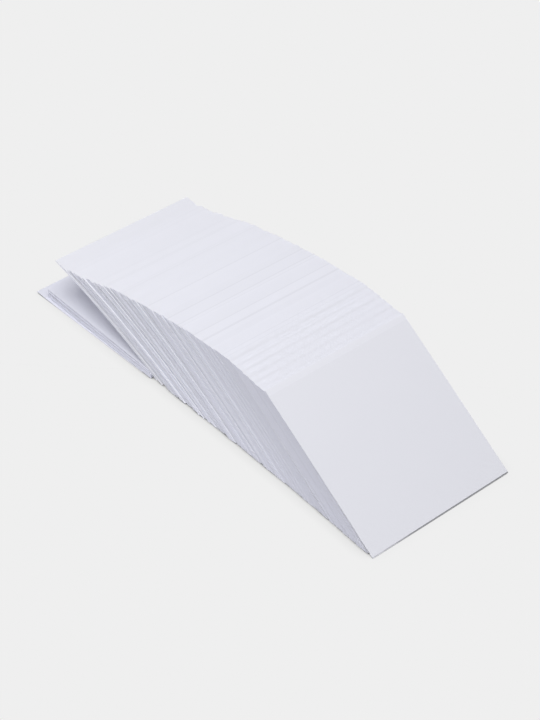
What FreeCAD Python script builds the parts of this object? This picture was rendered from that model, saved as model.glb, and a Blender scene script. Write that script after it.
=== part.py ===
import FreeCAD, Part
import math
import os
import random

# A memo cube of loose note sheets that has toppled over like a row of dominoes.
# The pile runs along X. A few sheets lie almost flat at its -X end, the others stand on
# their lower edges and lean towards -X, and the front sheet closes the pile at +X.
# A lift is a handful of sheets that lean and bend together. Inside a lift the sheets
# are grouped in slabs, and each slab stands on its own edge, so a lift has a row of
# teeth along its feet and a row of steps along its tips.
# Lengths are in millimetres, angles in degrees, +Z is up and the floor is Z = 0.

# The note sheet
sheet_width = 90.0
sheet_thickness = 0.1
sheets_per_slab = 4
air_between = 0.08

# The leaning lifts, thin where the pile is loose and thick where it is tight
lift_count = 52
first_slab_count = 1.2
last_slab_count = 6.3
tight_from_share = 0.6

# Lean of a lift at its foot and bend over its length, by its share of the way from
# the low end of the pile to the front
lean_angle_stations = [
    (0.0, 24.0), (0.04, 24.2), (0.1, 26.6), (0.2, 31.0),
    (0.35, 33.6), (0.55, 35.8), (0.8, 37.6), (1.0, 35.6),
]
bend_angle_stations = [(0.0, 11.7), (0.5, 4.0), (1.0, 1.6)]
lean_angle_play_loose = 0.35
lean_angle_play_tight = 0.04

# The sheets that close the pile at the front
front_sheet_count = 2
front_lean_angle = 34.9
front_bend_angle = 1.6

# Feet that stay above the floor: the first lifts, then the rest by chance, where a
# higher power leaves more of them low
first_lift_gap = 0.3
first_feet_heights = [1.5, 0.9, 0.2, 0.0, 0.0, 0.3, 1.0, 1.1, 0.4]
foot_play_loose = 0.5
foot_play_tight = 0.3
low_feet_power = 3
slab_play = 0.05

# Sideways the pile bends back at both ends, and no lift is quite in line with the next
side_bow = 2.5
bow_centre_share = 0.45
side_scatter = 0.15

# The sheets that lie low, from the floor up: how far the right end passes the end of
# the floor sheet, shift along Y, slope, and turn about the vertical
low_sheet_counts = {
    "floor_sheet": 2, "low_packet_1": 26, "low_packet_2": 6, "low_packet_3": 4, "low_top_sheet": 2,
}
low_reaches = [0.0, 7.6, 6.2, 5.2, 4.5]
low_shifts = [-0.7, -0.35, -0.25, -0.2, -0.1]
low_slope_angles = [0.0, 0.1, 0.5, 0.9, 1.2]
low_turn_angles = [1.6, 0.45, 0.35, 0.2, 0.1]

slab_thickness = sheet_thickness * sheets_per_slab
heights_compared = 24
chance = random.Random(11)


def at_share(stations, share):
    # straight line between the stations on either side of the share
    for (start, low), (end, high) in zip(stations, stations[1:]):
        if share <= end:
            return low + (high - low) * (share - start) / (end - start)
    return stations[-1][1]


def loose_to_tight(loose, tight, share):
    # the loose value at the low end of the pile, the tight one from tight_from_share on
    looseness = max(0.0, 1.0 - share / tight_from_share)
    return tight + (loose - tight) * looseness


class Lift:
    # Sheets bent to arcs about one centre below the pile. Angles are measured at that
    # centre, from the vertical towards +X. Surface 0 is the underside of the lift, and
    # slab n lies between surfaces n and n + 1.

    def __init__(self, lean, bend, slab_thicknesses, foot_heights):
        self.foot_heights = foot_heights
        self.radii = [sheet_width / math.radians(bend)]
        for thickness in slab_thicknesses:
            self.radii.append(self.radii[-1] + thickness)
        self.centre_x = 0.0
        self.centre_z = foot_heights[0] - self.radii[0] * math.cos(math.radians(lean))
        self.last_slab = len(slab_thicknesses) - 1

    def foot_angle(self, slab):
        return math.acos((self.foot_heights[slab] - self.centre_z) / self.radii[slab])

    def tip_angle(self, slab):
        return self.foot_angle(slab) - sheet_width / self.radii[slab]

    def point(self, surface, angle):
        x = self.centre_x + self.radii[surface] * math.sin(angle)
        z = self.centre_z + self.radii[surface] * math.cos(angle)
        return FreeCAD.Vector(x, 0, z)

    def x_at(self, surface, height):
        return self.centre_x + math.sqrt(self.radii[surface] ** 2 - (height - self.centre_z) ** 2)

    def foot(self):
        return self.point(0, self.foot_angle(0))

    def lower_tip(self):
        return self.point(0, self.tip_angle(0))

    def upper_tip(self):
        return self.point(-1, self.tip_angle(self.last_slab))

    def stand_clear_of(self, corners, gap):
        # slide along X until the underside passes every corner by the gap
        self.centre_x += gap + max(corner.x - self.x_at(0, corner.z) for corner in corners)

    def lean_on(self, previous):
        # slide along X until the underside just clears the lift before it
        top = min(self.lower_tip().z, previous.upper_tip().z)
        heights = [top * step / heights_compared for step in range(heights_compared + 1)]
        shift = max(previous.x_at(-1, height) - self.x_at(0, height) for height in heights)
        self.centre_x += shift + air_between

    def arc(self, surface, start, end):
        middle = self.point(surface, (start + end) / 2)
        return Part.Arc(self.point(surface, start), middle, self.point(surface, end)).toShape()

    def sheet_ends(self, slab, angle):
        return Part.LineSegment(self.point(slab, angle), self.point(slab + 1, angle)).toShape()

    def solid(self, near_y):
        # underside, teeth of the feet, upper side, then the steps of the tips
        edges = [self.arc(0, self.tip_angle(0), self.foot_angle(0))]
        for slab in range(self.last_slab):
            edges.append(self.sheet_ends(slab, self.foot_angle(slab)))
            edges.append(self.arc(slab + 1, self.foot_angle(slab), self.foot_angle(slab + 1)))
        edges.append(self.sheet_ends(self.last_slab, self.foot_angle(self.last_slab)))
        edges.append(self.arc(-1, self.foot_angle(self.last_slab), self.tip_angle(self.last_slab)))
        for slab in range(self.last_slab, 0, -1):
            edges.append(self.sheet_ends(slab, self.tip_angle(slab)))
            edges.append(self.arc(slab, self.tip_angle(slab), self.tip_angle(slab - 1)))
        edges.append(self.sheet_ends(0, self.tip_angle(0)))
        profile = Part.Face(Part.Wire(edges))
        profile.translate(FreeCAD.Vector(0, near_y, 0))
        return profile.extrude(FreeCAD.Vector(0, sheet_width, 0))


def make_low_packets():
    # each packet rests on the end of the one below and opens upwards towards -X
    solids = {}
    below = None
    places = zip(low_reaches, low_shifts, low_slope_angles, low_turn_angles)
    for (name, sheets), (reach, shift, slope, turn) in zip(low_sheet_counts.items(), places):
        rise = math.radians(slope)
        along = FreeCAD.Vector(-math.cos(rise), 0, math.sin(rise)) * sheet_width
        upwards = FreeCAD.Vector(math.sin(rise), 0, math.cos(rise)) * (sheets * sheet_thickness)
        lower_right = FreeCAD.Vector(reach, 0, 0)
        if below:
            corner, corner_rise = below
            contact_x = min(corner.x, reach)
            contact_z = corner.z + (corner.x - contact_x) * math.tan(corner_rise) + air_between
            lower_right.z = max(0.0, contact_z - (reach - contact_x) * math.tan(rise))
        upper_right = lower_right + upwards
        corners = [lower_right, lower_right + along, upper_right + along, upper_right, lower_right]
        packet = Part.Face(Part.makePolygon(corners)).extrude(FreeCAD.Vector(0, sheet_width, 0))
        packet.rotate(FreeCAD.Vector(0, 0, 0), FreeCAD.Vector(0, 0, 1), turn)
        packet.translate(FreeCAD.Vector(0, shift, 0))
        solids[name] = packet
        below = (upper_right, rise)
    return solids


def count_slabs():
    step = (last_slab_count - first_slab_count) / (lift_count - 1)
    return [round(first_slab_count + step * number) for number in range(lift_count)]


def lay_lifts(low_solids):
    # the lifts in order, each one leaning on the one before, and the front sheet last
    corners = [vertex.Point for solid in low_solids.values() for vertex in solid.Vertexes]
    slab_counts = count_slabs()
    lifts = {}
    previous = None
    laid = 0
    for number, slabs in enumerate(slab_counts):
        share = (laid + slabs / 2) / sum(slab_counts)
        laid += slabs
        lean_scatter = loose_to_tight(lean_angle_play_loose, lean_angle_play_tight, share)
        lean = at_share(lean_angle_stations, share) + lean_scatter * chance.uniform(-1, 1)
        foot_play = loose_to_tight(foot_play_loose, foot_play_tight, share)
        foot_height = foot_play * chance.random() ** low_feet_power
        if number < len(first_feet_heights):
            foot_height = first_feet_heights[number]
        foot_heights = [foot_height + slab_play * chance.random() for slab in range(slabs)]
        lift = Lift(lean, at_share(bend_angle_stations, share), [slab_thickness] * slabs, foot_heights)
        if previous:
            lift.lean_on(previous)
        else:
            lift.stand_clear_of(corners, first_lift_gap)
        lifts[f"lift_{number + 1:02d}"] = lift
        previous = lift
    front = Lift(front_lean_angle, front_bend_angle, [front_sheet_count * sheet_thickness], [0.0])
    front.lean_on(previous)
    lifts["front_sheet"] = front
    return lifts


def make_lifts(lifts, low_end_x):
    solids = {}
    front_x = lifts["front_sheet"].foot().x
    centre_x = front_x + (low_end_x - front_x) * bow_centre_share
    for name, lift in lifts.items():
        from_centre = (lift.foot().x - centre_x) / (front_x - centre_x)
        scatter = 0.0 if name == "front_sheet" else side_scatter * chance.uniform(-1, 1)
        solids[name] = lift.solid(scatter - side_bow * from_centre ** 2)
    return solids


pieces = make_low_packets()
lifts = lay_lifts(pieces)
pieces.update(make_lifts(lifts, pieces["floor_sheet"].BoundBox.XMin))

# The origin is on the floor under the middle of the whole pile
box = Part.makeCompound(list(pieces.values())).BoundBox
to_origin = FreeCAD.Vector(-box.Center.x, -box.Center.y, -box.ZMin)
os.makedirs("parts", exist_ok=True)
for name, solid in pieces.items():
    solid.translate(to_origin)
    solid.exportStep(f"parts/{name}.step")
print(f"{len(pieces)} pieces, {box.XLength:.1f} x {box.YLength:.1f} x {box.ZLength:.1f} mm")
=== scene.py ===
import math
import random

import bmesh
import bpy
from mathutils import Matrix, Vector


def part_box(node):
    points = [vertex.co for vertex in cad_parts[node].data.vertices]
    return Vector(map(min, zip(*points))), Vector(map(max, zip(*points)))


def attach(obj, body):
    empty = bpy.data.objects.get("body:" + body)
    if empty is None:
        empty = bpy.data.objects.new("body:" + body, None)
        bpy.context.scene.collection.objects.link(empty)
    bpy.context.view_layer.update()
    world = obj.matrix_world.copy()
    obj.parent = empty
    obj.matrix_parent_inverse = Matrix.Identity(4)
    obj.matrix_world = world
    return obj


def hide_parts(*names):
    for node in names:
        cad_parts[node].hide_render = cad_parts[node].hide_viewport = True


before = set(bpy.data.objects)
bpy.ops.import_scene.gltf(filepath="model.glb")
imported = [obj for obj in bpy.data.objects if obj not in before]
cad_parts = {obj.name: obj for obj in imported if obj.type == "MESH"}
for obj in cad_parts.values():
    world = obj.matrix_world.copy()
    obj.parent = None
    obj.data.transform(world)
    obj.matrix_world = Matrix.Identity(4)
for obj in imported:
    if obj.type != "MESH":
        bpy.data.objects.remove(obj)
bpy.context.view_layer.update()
mm = 0.001
print("frame loaded,", len(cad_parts), "nodes")


camera = {
    "place": (0.588448, -0.496800, 0.655277),
    "tilt": 50.080,     # degrees up from straight down
    "turn": 49.417,     # degrees about +Z, from looking along +Y
    "lens": 97.5,       # mm
    "sensor": 36,       # mm
    "clip": (0.05, 60),     # m, nearest and farthest
}


def makeCamera(spec):
    data = bpy.data.cameras.new("camera")
    data.lens = spec["lens"]
    data.sensor_width = spec["sensor"]
    data.clip_start, data.clip_end = spec["clip"]
    eye = bpy.data.objects.new("camera", data)
    eye.location = spec["place"]
    eye.rotation_euler = (math.radians(spec["tilt"]), 0, math.radians(spec["turn"]))
    bpy.context.scene.collection.objects.link(eye)
    bpy.context.scene.camera = eye


makeCamera(camera)
print("camera set")


class Wire:
    # the output of a shader node, with arithmetic that adds Math nodes
    def __init__(self, tree, socket):
        self.tree = tree
        self.socket = socket

    def maths(self, operation, first, second):
        node = self.tree.nodes.new("ShaderNodeMath")
        node.operation = operation
        for socket, value in zip(node.inputs, (first, second)):
            feed(self.tree, socket, value)
        return Wire(self.tree, node.outputs[0])

    def __add__(self, other):
        return self.maths("ADD", self, other)

    def __sub__(self, other):
        return self.maths("SUBTRACT", self, other)

    def __rsub__(self, other):
        return self.maths("SUBTRACT", other, self)

    def __mul__(self, other):
        return self.maths("MULTIPLY", self, other)

    __radd__ = __add__
    __rmul__ = __mul__


def feed(tree, socket, value):
    if isinstance(value, Wire):
        tree.links.new(value.socket, socket)
    else:
        socket.default_value = value


class Shader:
    # the node tree of a new material, or of the world
    def __init__(self, owner):
        owner.use_nodes = True
        self.tree = owner.node_tree
        self.tree.nodes.clear()

    def node(self, kind, settings=None, output=None, inOrder=(), **sockets):
        # inOrder feeds the first sockets, where two have the same name
        made = self.tree.nodes.new("ShaderNode" + kind)
        for name, value in (settings or {}).items():
            setattr(made, name, value)
        for socket, value in zip(made.inputs, inOrder):
            feed(self.tree, socket, value)
        for name, value in sockets.items():
            wanted = name.replace("_", " ")
            socket = next(s for s in made.inputs if s.name == wanted and s.enabled)
            feed(self.tree, socket, value)
        for socket in made.outputs:
            if socket.enabled and output in (None, socket.name):
                return Wire(self.tree, socket)


paper = {
    "face": (0.862, 0.867, 0.905, 1),
    "shade": (0.848, 0.853, 0.892, 1),   # between the fibres
    "cut": (0.855, 0.864, 0.955, 1),     # the guillotined edges, bluer than the faces: partly painted shade, for the bluish shade on the side
    "fibreScale": 900,                   # per metre
    "fibreDetail": 4.0,
    "fibreShare": 0.6,                   # of the mottle, the clouds make the rest
    "cloudScale": 70,
    "cloudDetail": 2.0,
    "roughness": 0.82,
    "roughnessPlay": 0.08,
    "grain": 0.012 * mm,
    "grainStrength": 0.6,
}


def makePaper(spec):
    material = bpy.data.materials.new("notePaper")
    shader = Shader(material)
    place = shader.node("TexCoord", output="Object")
    fibres = shader.node("TexNoise", Vector=place, Scale=spec["fibreScale"],
                         Detail=spec["fibreDetail"])
    clouds = shader.node("TexNoise", Vector=place, Scale=spec["cloudScale"],
                         Detail=spec["cloudDetail"])
    tone = shader.node("Attribute", {"attribute_name": "tone"}, "Fac")
    cut = shader.node("Attribute", {"attribute_name": "cut"}, "Fac")
    mottle = spec["fibreShare"] * fibres + (1 - spec["fibreShare"]) * clouds
    face = shader.node("Mix", {"data_type": "RGBA"}, Factor=mottle,
                       A=spec["face"], B=spec["shade"])
    edged = shader.node("Mix", {"data_type": "RGBA"}, Factor=cut,
                        A=face, B=spec["cut"])
    toned = shader.node("HueSaturation", Color=edged, Value=tone)
    bump = shader.node("Bump", Height=fibres, Distance=spec["grain"],
                       Strength=spec["grainStrength"])
    surface = shader.node("BsdfPrincipled", Base_Color=toned, Normal=bump,
                          Roughness=spec["roughness"] + spec["roughnessPlay"] * (clouds - 0.5))
    shader.node("OutputMaterial", Surface=surface)
    return material


notePaper = makePaper(paper)
print("paper made")


# how the solids lie, so that each sheet is laid where its lift stands
pile = {
    "sheetWidth": 90 * mm,
    "sheetThickness": 0.1 * mm,
    "sheetsInSlab": 4,
    "air": 0.08 * mm,           # between lifts
    "liftCount": 52,
    "firstSlabs": 1.2,          # in the first lift and the last, rounded for each lift
    "lastSlabs": 6.3,
    "tightFrom": 0.6,           # share of the way from the low end to the front
    # degrees up from the floor at the foot, and degrees of bend over the sheet
    "lean": [(0.0, 24.0), (0.04, 24.2), (0.1, 26.6), (0.2, 31.0),
             (0.35, 33.6), (0.55, 35.8), (0.8, 37.6), (1.0, 35.6)],
    "bend": [(0.0, 11.7), (0.5, 4.0), (1.0, 1.6)],
    "leanPlay": (0.35, 0.04),   # degrees, where the pile is loose and where it is tight
    "firstFeet": [1.5, 0.9, 0.2, 0.0, 0.0, 0.3, 1.0, 1.1, 0.4],   # mm above the floor
    "footPlay": (0.5, 0.3),     # mm, loose and tight
    "lowFeetPower": 3,          # a higher one leaves more feet low
    "slabPlay": 0.05,           # mm
    "frontSlab": 0.2 * mm,
    "frontLean": 34.9,
    "frontBend": 1.6,
    "heightsCompared": 24,
    "seed": 11,
}


def atShare(stations, share):
    # straight line between the stations on either side of the share
    for (start, low), (end, high) in zip(stations, stations[1:]):
        if share <= end:
            return low + (high - low) * (share - start) / (end - start)
    return stations[-1][1]


def looseToTight(pair, share):
    loose, tight = pair
    return tight + (loose - tight) * max(0.0, 1.0 - share / pile["tightFrom"])


class Lift:
    # sheets bent about one centre below the floor, with angles from the vertical to +X
    def __init__(self, name, share, lean, bend, slabs, feet):
        self.name = name
        self.share = share
        self.slabs = slabs
        self.feet = feet
        self.inner = pile["sheetWidth"] / math.radians(bend)
        self.outer = self.inner + sum(slabs)
        self.centreX = 0.0
        self.centreZ = feet[0] - self.inner * math.cos(math.radians(lean))

    def angleAt(self, radius, height):
        return math.acos((height - self.centreZ) / radius)

    def xAt(self, radius, height):
        return self.centreX + math.sqrt(radius ** 2 - (height - self.centreZ) ** 2)

    def pointAt(self, radius, angle):
        return Vector((self.centreX + radius * math.sin(angle), 0,
                       self.centreZ + radius * math.cos(angle)))

    def lowerTip(self):
        angle = self.angleAt(self.inner, self.feet[0]) - pile["sheetWidth"] / self.inner
        return self.pointAt(self.inner, angle)

    def upperTip(self):
        radius = self.outer - self.slabs[-1]
        angle = self.angleAt(radius, self.feet[-1]) - pile["sheetWidth"] / radius
        return self.pointAt(self.outer, angle)

    def leanOn(self, previous):
        # slide along X until the underside just clears the lift before it
        top = min(self.lowerTip().z, previous.upperTip().z)
        steps = pile["heightsCompared"]
        heights = [top * step / steps for step in range(steps + 1)]
        self.centreX = pile["air"] + max(
            previous.xAt(previous.outer, height) - self.xAt(self.inner, height)
            for height in heights)


def layLifts():
    # the same draws in the same order as the solids had
    chance = random.Random(pile["seed"])
    step = (pile["lastSlabs"] - pile["firstSlabs"]) / (pile["liftCount"] - 1)
    counts = [round(pile["firstSlabs"] + step * n) for n in range(pile["liftCount"])]
    slab = pile["sheetThickness"] * pile["sheetsInSlab"]
    lifts = []
    for number, count in enumerate(counts):
        share = (sum(counts[:number]) + count / 2) / sum(counts)
        play = looseToTight(pile["leanPlay"], share)
        lean = atShare(pile["lean"], share) + play * chance.uniform(-1, 1)
        foot = looseToTight(pile["footPlay"], share) * chance.random() ** pile["lowFeetPower"]
        if number < len(pile["firstFeet"]):
            foot = pile["firstFeet"][number]
        feet = [(foot + pile["slabPlay"] * chance.random()) * mm for n in range(count)]
        bend = atShare(pile["bend"], share)
        lifts.append(Lift(f"lift_{number + 1:02d}", share, lean, bend, [slab] * count, feet))
    lifts.append(Lift("front_sheet", 1.0, pile["frontLean"], pile["frontBend"],
                      [pile["frontSlab"]], [0.0]))
    for previous, lift in zip(lifts, lifts[1:]):
        lift.leanOn(previous)
    # the front sheet's foot gives the place of the whole row
    front = lifts[-1]
    foot = front.pointAt(front.outer, front.angleAt(front.inner, 0.0))
    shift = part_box("front_sheet")[1].x - foot.x
    for lift in lifts:
        lift.centreX += shift
    return lifts


lifts = layLifts()
worst = max(abs(lift.lowerTip().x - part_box(lift.name)[0].x) for lift in lifts)
print("lifts laid, off the solids by", round(worst / mm, 4), "mm at most")


sheets = {
    "thickness": 0.097 * mm,    # a little less than from sheet to sheet
    "segments": 10,
    "seed": 5,
    "bunches": (2, 3, 4, 6, 9, 14, 20, 30),   # sheets that shift together
    "thinBunch": 4,             # up to this many sheets, it stands back, with painted shade on its faces and cut edges
    "fanned": 0.25,             # share of the bunches whose sheets don't line up
    "cutShade": 0.05,           # painted shade: tone lost by a bunch that stands back at the near side
    "cutArea": 20 * mm ** 2,    # a smaller face is a cut edge
    "feet": [1.3, 0.75, 0.2, 0.0, 0.0, 0.25, 0.7, 0.75, 0.3],   # mm, the first lifts' lowest
    "highFoot": 0.4,            # mm, a lift that stands higher has no tooth
    "lastSheets": 3,            # under the front sheet, their tips stand higher and take a painted highlight
    "lastPaintedHighlight": 1.035,
    "lastFoot": 0.9,            # mm
    # each of these by the share of the way from the low end to the front
    "alongPile": {
        # mm towards the far side: each lift, and a thin bunch in it
        "recess": [(0.0, 0.0), (0.012, 0.5), (0.12, 0.6), (0.2, 0.9), (0.3, 1.0),
                   (0.42, 1.0), (0.66, 1.3), (0.8, 1.1), (1.0, 0.9)],
        "thinSide": [(0.0, 0.15), (0.1, 0.35), (0.5, 0.30), (0.65, 0.10), (0.8, 0.03),
                     (1.0, 0.02)],
        # mm either way: any other bunch, its sheets, and its sheets where they don't line up
        "bunchSide": [(0.0, 0.12), (0.055, 0.12), (0.07, 0.50), (0.10, 0.45),
                      (0.13, 0.16), (0.2, 0.26), (0.3, 0.24), (0.45, 0.16),
                      (0.6, 0.09), (0.75, 0.04), (1.0, 0.02)],
        "sheetSide": [(0.0, 0.004), (1.0, 0.002)],
        "fannedSide": [(0.0, 0.03), (0.08, 0.06), (0.3, 0.03), (0.6, 0.01), (1.0, 0.005)],
        # mm that feet stand higher: a bunch, a sheet, and from a lift's first sheet to its last
        "bunchRise": [(0.0, 0.12), (0.6, 0.05), (1.0, 0.02)],
        "sheetRise": [(0.0, 0.01), (0.6, 0.006), (1.0, 0.002)],
        "tooth": [(0.0, 0.20), (0.3, 0.20), (0.5, 0.08), (1.0, 0.02)],
        # share of the rises between slabs that is kept
        "slabPlay": [(0.0, 1.0), (0.6, 0.8), (0.75, 0.2), (1.0, 0.1)],
        # degrees either way, in the sheet's own plane
        "turn": [(0.0, 0.10), (0.6, 0.03), (1.0, 0.03)],
        # mm that the tips sink, or rise where it is less than 0
        "sag": [(0.0, 0.0), (0.01, 0.0), (0.02, -0.8), (0.04, -0.4), (0.06, 0.0),
                (0.12, 0.1), (0.13, 0.3), (0.2, 0.9), (0.3, 1.2), (0.6, 1.1),
                (0.8, 0.6), (0.93, 0.2), (1.0, 0.0)],
        # tone of the faces with painted light, lighter towards the low end, how far it goes
        # either way, and the painted shade that a thin bunch adds instead
        "facePaintedLight": [(0.0, 1.03), (0.1, 1.015), (0.25, 1.0), (1.0, 1.0)],
        "faceTone": [(0.0, 0.003), (0.3, 0.005), (0.45, 0.008), (0.7, 0.008),
                     (0.85, 0.004), (1.0, 0.003)],
        "thinFacePaintedShade": [(0.0, -0.01), (0.2, -0.015), (0.4, -0.05), (0.7, -0.05),
                     (0.85, -0.02), (1.0, -0.01)],
        # the same of the cut edges, whose tone paints light in the loose part and shade towards
        # the tight front
        "cutPaintedLightShade": [(0.0, 0.97), (0.05, 0.975), (0.085, 1.03), (0.15, 1.015),
                    (0.4, 0.963), (1.0, 0.87)],
        "cutTone": [(0.0, 0.02), (0.06, 0.03), (0.12, 0.045), (0.5, 0.045),
                    (0.75, 0.016), (1.0, 0.010)],
        "thinCutPaintedShade": [(0.0, -0.10), (0.1, -0.20), (0.5, -0.20), (0.65, -0.08),
                     (0.8, -0.03), (1.0, -0.02)],
    },
}


def newPaperMesh():
    bm = bmesh.new()
    bm.faces.layers.float.new("tone")
    bm.faces.layers.float.new("cut")
    return bm


def connected(start):
    # every vertex that edges lead to, so one whole sheet
    found = set(start)
    waiting = list(start)
    while waiting:
        vert = waiting.pop()
        for edge in vert.link_edges:
            other = edge.other_vert(vert)
            if other not in found:
                found.add(other)
                waiting.append(other)
    return list(found)


def facesOf(verts):
    return list({face for vert in verts for face in vert.link_faces})


def markFaces(bm, faces, tones):
    # tones are those of the faces and of the cut edges
    toneLayer = bm.faces.layers.float["tone"]
    cutLayer = bm.faces.layers.float["cut"]
    for face in faces:
        isCut = face.calc_area() < sheets["cutArea"]
        face[toneLayer] = tones[isCut]
        face[cutLayer] = float(isCut)


def addSheet(bm, lift, radius, foot, nearY, turn, tones):
    # a line along the foot is spun up to the tip, then given its thickness and its turn
    width = pile["sheetWidth"]
    start = lift.angleAt(radius, foot + abs(math.radians(turn)) * width / 2)
    low = lift.pointAt(radius, start)
    ends = [bm.verts.new((low.x, y, low.z)) for y in (nearY, nearY + width)]
    edge = bm.edges.new(ends)
    bmesh.ops.spin(bm, geom=ends + [edge], cent=(lift.centreX, 0, lift.centreZ),
                   axis=(0, 1, 0), angle=-width / radius, steps=sheets["segments"])
    bmesh.ops.solidify(bm, geom=facesOf(connected(ends)), thickness=-sheets["thickness"])
    verts = connected(ends)
    middle = sum((vert.co for vert in verts), Vector()) / len(verts)
    centre = Vector((lift.centreX, middle.y, lift.centreZ))
    bmesh.ops.rotate(bm, verts=verts, cent=middle,
                     matrix=Matrix.Rotation(math.radians(turn), 3, middle - centre))
    markFaces(bm, facesOf(verts), tones)


def finishPiece(bm, name, node):
    bmesh.ops.recalc_face_normals(bm, faces=bm.faces)
    mesh = bpy.data.meshes.new(name)
    bm.to_mesh(mesh)
    bm.free()
    mesh.materials.append(notePaper)
    piece = bpy.data.objects.new(name, mesh)
    bpy.context.scene.collection.objects.link(piece)
    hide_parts(node)
    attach(piece, "root")
    return piece


def dealBunches(chance):
    # deals a bunch to each sheet in turn, and a new one when a bunch is full
    while True:
        count = chance.choice(sheets["bunches"])
        bunch = {
            "side": chance.uniform(-1, 1),
            "rise": chance.random(),
            "turn": chance.uniform(-1, 1),
            "fan": "fannedSide" if chance.random() < sheets["fanned"] else "sheetSide",
            "face": chance.uniform(-1, 1),
            "cut": chance.uniform(-1, 1),
            "thin": count <= sheets["thinBunch"],
        }
        for n in range(count):
            yield bunch


def makeLift(lift, bunches, chance):
    bm = newPaperMesh()
    play = {part: atShare(stations, lift.share)
            for part, stations in sheets["alongPile"].items()}
    order = lifts.index(lift)
    isLast = order == len(lifts) - 2
    lower = 0.0
    if order < len(sheets["feet"]):
        lower = pile["firstFeet"][order] - sheets["feet"][order]
    high = lift.feet[0] - lower * mm > sheets["highFoot"] * mm
    tooth = 0.0 if high else play["tooth"] * chance.random()
    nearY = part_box(lift.name)[0].y + play["recess"] * mm
    feet = [lift.feet[0] + (foot - lift.feet[0]) * play["slabPlay"]
            for foot in lift.feet for n in range(pile["sheetsInSlab"])]
    for number, foot in enumerate(feet):
        bunch = next(bunches)
        side = play["bunchSide"] * bunch["side"] + play[bunch["fan"]] * chance.uniform(-1, 1)
        rise = (play["bunchRise"] * bunch["rise"] + play["sheetRise"] * chance.random()
                + tooth * number / len(feet) - lower)
        height = foot + rise * mm
        faceTone = play["facePaintedLight"] + play["faceTone"] * bunch["face"]
        # a bunch that stands back loses tone by cutShade: painted shade
        cutTone = (play["cutPaintedLightShade"] + play["cutTone"] * bunch["cut"]
                   - sheets["cutShade"] * bunch["side"])
        # a thin bunch stands back and takes painted shade on its faces and cut edges instead
        if bunch["thin"]:
            side = play["thinSide"]
            faceTone = play["facePaintedLight"] + play["thinFacePaintedShade"]
            cutTone = play["cutPaintedLightShade"] + play["thinCutPaintedShade"]
        # the last sheets stand higher and take a painted highlight on their faces
        if isLast and len(feet) - number <= sheets["lastSheets"]:
            height = sheets["lastFoot"] * mm
            faceTone = sheets["lastPaintedHighlight"]
        addSheet(bm, lift, lift.inner + number * pile["sheetThickness"], height,
                 nearY + side * mm, play["turn"] * bunch["turn"], (faceTone, cutTone))
    # the sag grows with the square of the height
    top = lift.upperTip().z
    for vert in bm.verts:
        outwards = Vector((vert.co.x - lift.centreX, 0, vert.co.z - lift.centreZ)).normalized()
        vert.co -= outwards * (play["sag"] * mm * (vert.co.z / top) ** 2)
    return finishPiece(bm, lift.name + "_sheets", lift.name)


frontSheet = {
    "side": 1.0,            # mm towards +Y, past the lifts' ends
    # the inner sheet and the outer one
    "feet": (0.0, 0.42),    # mm above the floor
    "tones": (0.99, 1.0),
    # painted shade: tone of the inner sheet's foot under the outer one, from the near side
    "shade": [(0.0, 0.85), (0.12, 0.7), (0.3, 0.36), (1.0, 0.34)],
    "shadeHeight": 6 * mm,
    "bulge": 0.5,           # mm that the lower edge stands out at the far corner
    "bulgeReach": 45 * mm,  # along X from the foot to where it has died out
    "cuts": 11,             # across the sheet, for the bulge and the painted shade
}


def makeFrontSheet(lift, spec):
    bm = newPaperMesh()
    width = pile["sheetWidth"]
    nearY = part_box(lift.name)[0].y + spec["side"] * mm
    for n, (foot, tone) in enumerate(zip(spec["feet"], spec["tones"])):
        addSheet(bm, lift, lift.inner + n * pile["sheetThickness"], foot * mm,
                 nearY, 0.0, (tone, 1.0))
    across = [edge for edge in bm.edges
              if abs(edge.verts[0].co.y - edge.verts[1].co.y) > width / 2]
    bmesh.ops.subdivide_edges(bm, edges=across, cuts=spec["cuts"], use_grid_fill=True)
    footX = max(vert.co.x for vert in bm.verts)
    for vert in bm.verts:
        # the bulge dies out towards the near side too
        fromFar = min(1.0, (nearY + width - vert.co.y) / width)
        upwards = (footX - vert.co.x) / spec["bulgeReach"]
        outwards = (vert.co - Vector((lift.centreX, vert.co.y, lift.centreZ))).normalized()
        share = (1 - fromFar ** 2) * max(0.0, 1 - upwards) ** 2
        vert.co += outwards * (spec["bulge"] * share * mm)
    # only the inner sheet's faces have less than full tone here, and near the foot they take
    # the painted shade
    toneLayer = bm.faces.layers.float["tone"]
    for face in bm.faces:
        middle = face.calc_center_median()
        if face[toneLayer] < 1 and middle.z < spec["shadeHeight"]:
            face[toneLayer] = atShare(spec["shade"], (middle.y - nearY) / width)
    return finishPiece(bm, "front_sheet_sheets", lift.name)


chance = random.Random(sheets["seed"])
bunches = dealBunches(chance)
made = [makeLift(lift, bunches, chance) for lift in lifts[:-1]]
made.append(makeFrontSheet(lifts[-1], frontSheet))
print("leaning sheets made,", sum(len(piece.data.polygons) for piece in made), "faces")


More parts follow.
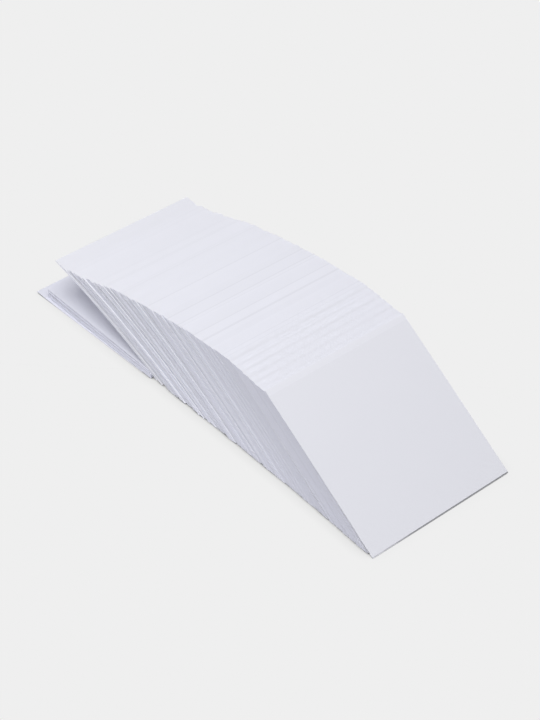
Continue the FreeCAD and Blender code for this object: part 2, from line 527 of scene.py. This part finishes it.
lowSheets = {
    # turn is in degrees about the vertical, and these are in mm: rise above the right end,
    # by the share of the length from there, forward to the near side, short of the full
    # length, and curl of the near corner at the left end
    "packets": {
        # the floor sheet's cut edges are darkened: painted shade
        "floor_sheet": {
            "count": 2, "turn": 1.6, "rise": [(0.0, 0.0), (1.0, 0.0)], "curl": 0.7,
            "edgeTone": 0.79},
        "low_packet_1": {
            "count": 26, "turn": 0.45, "rise": [(0.0, 0.05), (1.0, 0.1)], "forward": 0.30,
            "underSheets": 3, "openSheets": 2},
        "low_packet_2": {
            "count": 6, "turn": 0.35,
            "rise": [(0.0, 0.05), (0.3, 0.08), (0.6, 0.30), (1.0, 0.85)],
            "forward": 0.35, "short": 1.6},
        "low_packet_3": {
            "count": 4, "turn": 0.2,
            "rise": [(0.0, 0.0), (0.3, 0.03), (0.6, 0.25), (1.0, 0.80)],
            "forward": 0.25, "short": 2.0, "openSheets": 2},
        "low_top_sheet": {
            "count": 2, "turn": 0.1,
            "rise": [(0.0, 0.0), (0.12, 0.36), (0.3, 0.42), (0.6, 0.62), (1.0, 0.95)],
            "forward": 0.45, "short": 2.0},
    },
    "side": 0.03,           # mm either way, each sheet
    "along": 0.12,          # mm either way, each sheet
    "faceTone": 0.96,
    "paintedShadeBlueness": 0.7,        # of the faces, as a share of the cut edges': painted shade, for the bluish shade among the low sheets
    "edgeTone": 1.02,       # of the cut edges
    "cutTone": 0.03,        # either way, each sheet
    "underPaintedShade": 0.80,      # painted shade on the underSheets' cut edges, at a packet's foot
    "openPaintedShade": 0.60,       # painted shade on the openSheets' cut edges, at a packet's top, under a gap
    "segments": (24, 4),    # along and across
    "curlPowers": (8, 2),   # a higher one keeps the curl nearer the corner
    "seed": 8,
}


def makeLowPacket(name, packet, chance):
    bm = newPaperMesh()
    low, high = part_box(name)
    middle = (low + high) / 2
    width = pile["sheetWidth"]
    lengthSegments, widthSegments = lowSheets["segments"]
    alongPower, acrossPower = lowSheets["curlPowers"]
    place = (Matrix.Translation((middle.x, middle.y, low.z))
             @ Matrix.Rotation(math.radians(packet["turn"]), 4, "Z"))
    for n in range(packet["count"]):
        grid = bmesh.ops.create_grid(bm, x_segments=lengthSegments,
                                     y_segments=widthSegments, size=width / 2)["verts"]
        side = lowSheets["side"] * chance.uniform(-1, 1) * mm
        along = lowSheets["along"] * chance.uniform(-1, 1) * mm
        edgeTone = lowSheets["edgeTone"] + lowSheets["cutTone"] * chance.uniform(-1, 1)
        # painted shade on the cut edges at a packet's top and at its foot
        if packet["count"] - n <= packet.get("openSheets", 0):
            edgeTone = lowSheets["openPaintedShade"]
        if n < packet.get("underSheets", 0):
            edgeTone = lowSheets["underPaintedShade"]
        edgeTone = packet.get("edgeTone", edgeTone)
        bmesh.ops.solidify(bm, geom=facesOf(grid), thickness=-sheets["thickness"])
        verts = connected(grid)
        for vert in verts:
            fromRight = 0.5 - vert.co.x / width
            nearness = 0.5 - vert.co.y / width
            curl = fromRight ** alongPower * nearness ** acrossPower
            vert.co.z += atShare(packet["rise"], fromRight) * mm
            vert.co.z += packet.get("curl", 0.0) * curl * mm
            vert.co.x += packet.get("short", 0.0) * fromRight * mm
        side -= packet.get("forward", 0.0) * mm
        bmesh.ops.translate(bm, verts=verts, vec=(along, side, n * pile["sheetThickness"]))
        bmesh.ops.transform(bm, matrix=place, verts=verts)
        markFaces(bm, facesOf(verts), (lowSheets["faceTone"], edgeTone))
    cutLayer = bm.faces.layers.float["cut"]
    for face in bm.faces:
        face[cutLayer] = max(face[cutLayer], lowSheets["paintedShadeBlueness"])
    return finishPiece(bm, name + "_sheets", name)


chance = random.Random(lowSheets["seed"])
for name, packet in lowSheets["packets"].items():
    makeLowPacket(name, packet, chance)
print("low sheets made")


studio = {
    "floorSize": 30,            # m
    "floorColour": (0.863, 0.863, 0.863, 1),
    "shadeReach": 7 * mm,       # a soft shade round the pile
    "shadeDepth": 0.22,
    "contactReach": 3 * mm,     # and a deep one where it touches the floor
    "contactFrom": 0.3,         # share of the sky hidden
    "contactTo": 0.8,
    "contactDepth": 0.97,
    "shadeSamples": 8,
    "dome": 0.26,
    "domeColour": (0.965, 0.965, 1.07, 1),
    # place, watts and side of each softbox
    "softboxes": [((0.15, -0.35, 1.25), 13.1, 1.0)],
}


def shownRays(shader):
    # 1 for a ray from the camera, straight or by way of a mirror or glass
    camera, mirror, glass = (shader.node("LightPath", output=f"Is {kind} Ray")
                             for kind in ("Camera", "Glossy", "Transmission"))
    return camera + mirror + glass


def makeFloor(spec):
    bm = bmesh.new()
    bmesh.ops.create_grid(bm, x_segments=1, y_segments=1, size=spec["floorSize"] / 2)
    mesh = bpy.data.meshes.new("floor")
    bm.to_mesh(mesh)
    bm.free()
    material = bpy.data.materials.new("floorPaint")
    shader = Shader(material)
    wide, close = (shader.node("AmbientOcclusion", {"samples": spec["shadeSamples"]}, "AO",
                               Distance=spec[reach])
                   for reach in ("shadeReach", "contactReach"))
    contact = shader.node("MapRange", {"interpolation_type": "SMOOTHSTEP"}, Value=1 - close,
                          From_Min=spec["contactFrom"], From_Max=spec["contactTo"])
    light = ((1 - spec["shadeDepth"] * (1 - wide))
             * (1 - spec["contactDepth"] * contact))
    shown = shader.node("Emission", Color=spec["floorColour"], Strength=light)
    plain = shader.node("BsdfDiffuse", Color=spec["floorColour"])
    both = shader.node("MixShader", inOrder=(shownRays(shader), plain, shown))
    shader.node("OutputMaterial", Surface=both)
    mesh.materials.append(material)
    floor = bpy.data.objects.new("floor", mesh)
    bpy.context.scene.collection.objects.link(floor)


def makeLight(spec):
    world = bpy.data.worlds.new("studio")
    bpy.context.scene.world = world
    shader = Shader(world)
    dome = shader.node("Background", Color=spec["domeColour"], Strength=spec["dome"])
    backdrop = shader.node("Background", Color=spec["floorColour"], Strength=1.0)
    both = shader.node("MixShader", inOrder=(shownRays(shader), dome, backdrop))
    shader.node("OutputWorld", Surface=both)
    for number, (place, watts, side) in enumerate(spec["softboxes"]):
        data = bpy.data.lights.new(f"softbox{number}", "AREA")
        data.energy = watts
        data.size = side
        lamp = bpy.data.objects.new(data.name, data)
        lamp.location = place
        lamp.rotation_euler = Vector(place).to_track_quat("Z", "Y").to_euler()
        bpy.context.scene.collection.objects.link(lamp)


makeFloor(studio)
makeLight(studio)
bpy.context.scene.view_settings.view_transform = "Standard"
print("studio set")

print("done")
